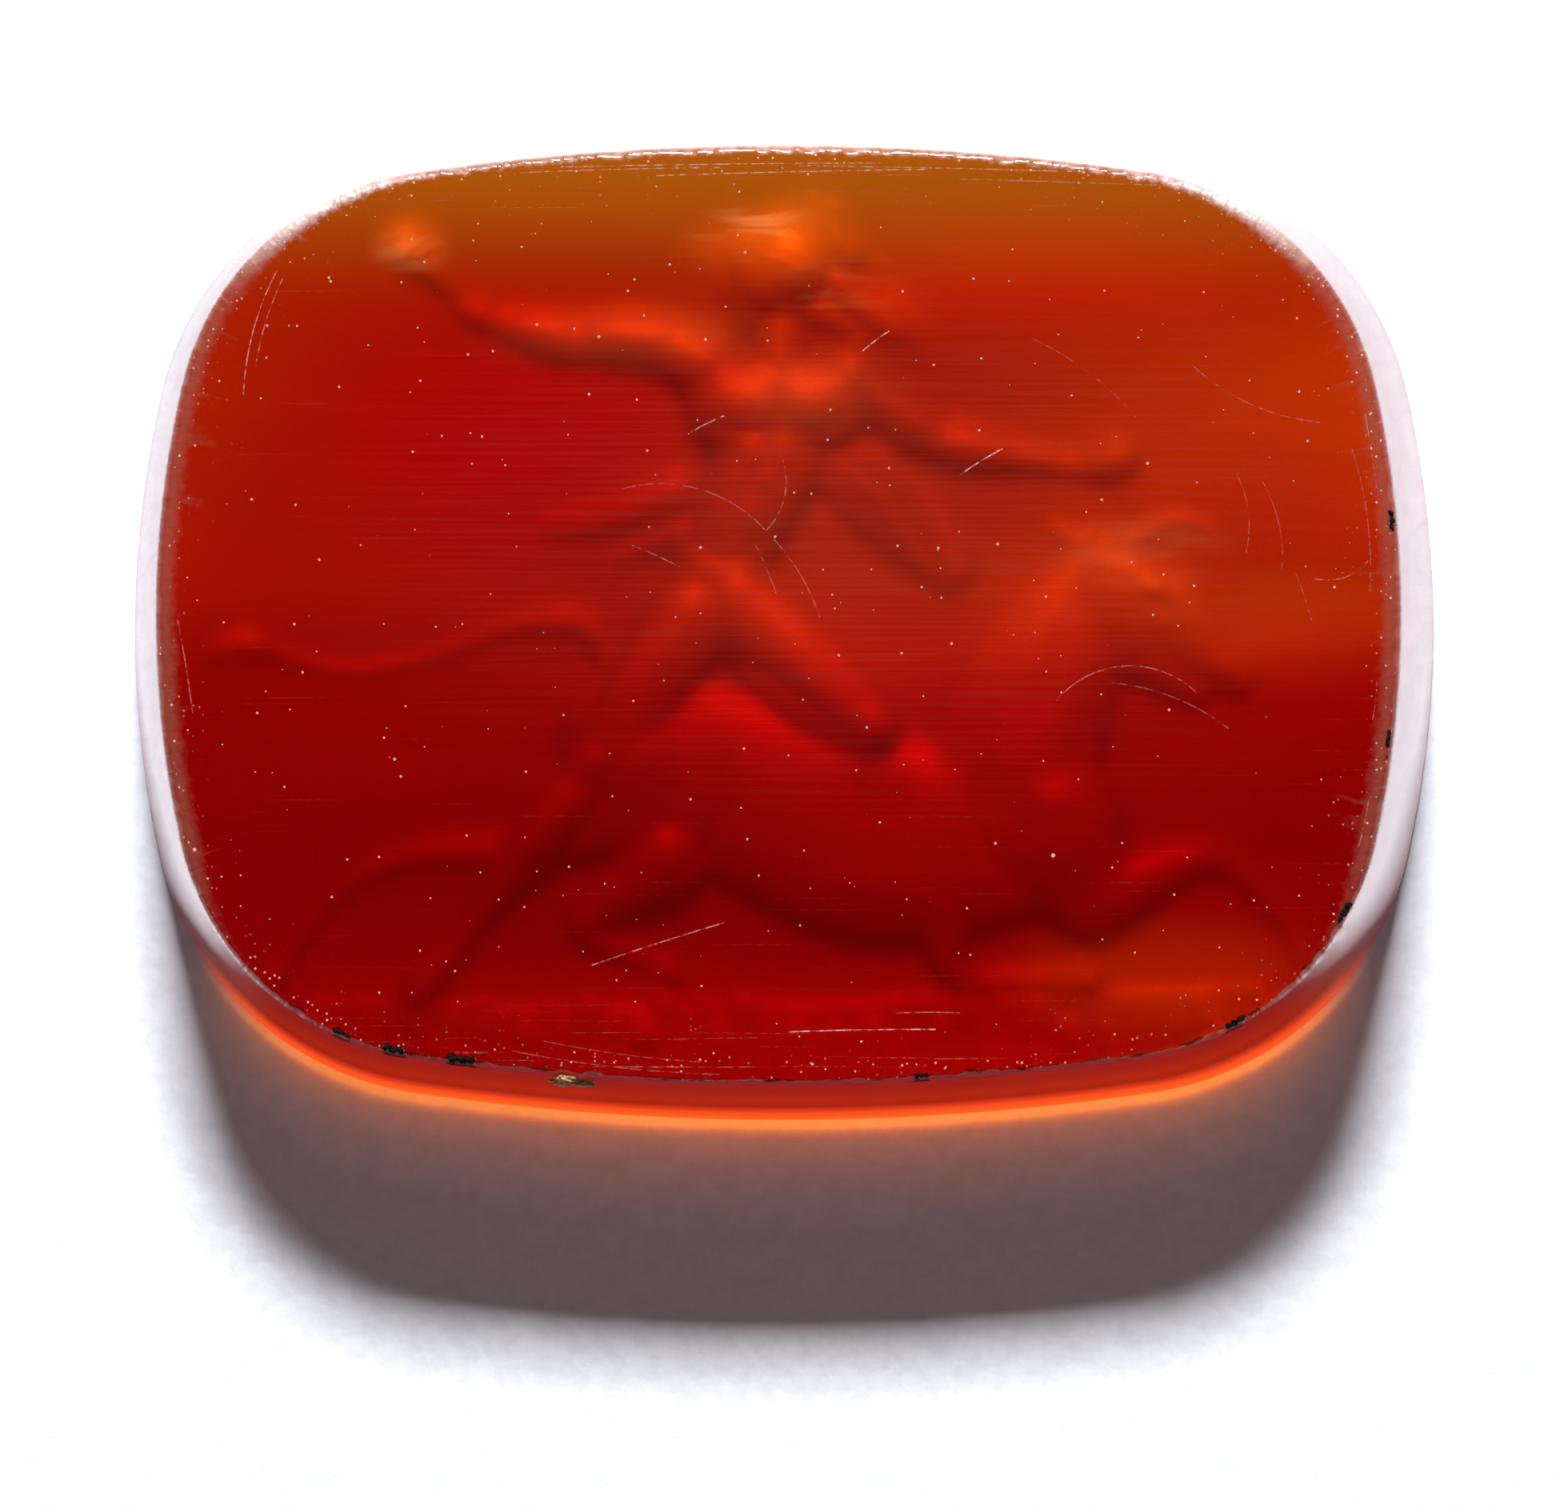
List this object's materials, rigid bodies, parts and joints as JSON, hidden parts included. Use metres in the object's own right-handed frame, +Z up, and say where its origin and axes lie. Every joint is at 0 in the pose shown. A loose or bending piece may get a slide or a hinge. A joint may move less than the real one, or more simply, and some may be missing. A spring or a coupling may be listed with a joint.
{
  "type": "engraved ringstone",
  "caption": "Loose cushion-shaped ringstone of red carnelian, flat and polished on its back, engraved on its wider face for sealing.",
  "frame": {"origin": "centre of the engraved face, which the stone lies on", "axes": "+X along the stone's long way, +Y across it, +Z up through the plain polished back"},
  "size_m": [0.0162, 0.0124, 0.0028],
  "materials": {
    "carnelian": "polished translucent red chalcedony, lightly worn",
    "pitch": "dry black-brown bedding pitch",
    "crust": "dull tan limy crust"
  },
  "bodies": {
    "root": {"carnelian_stone": "carnelian", "pitch_crumb_left_corner": "pitch", "pitch_crumb_left": "pitch", "pitch_crumb_near_left": "pitch", "crust_flake": "crust", "pitch_crumb_near": "pitch", "pitch_crumb_near_right": "pitch", "pitch_crumb_right_corner": "pitch", "pitch_crumb_right_low": "pitch", "pitch_crumb_right_high": "pitch"}
  },
  "joints": []
}
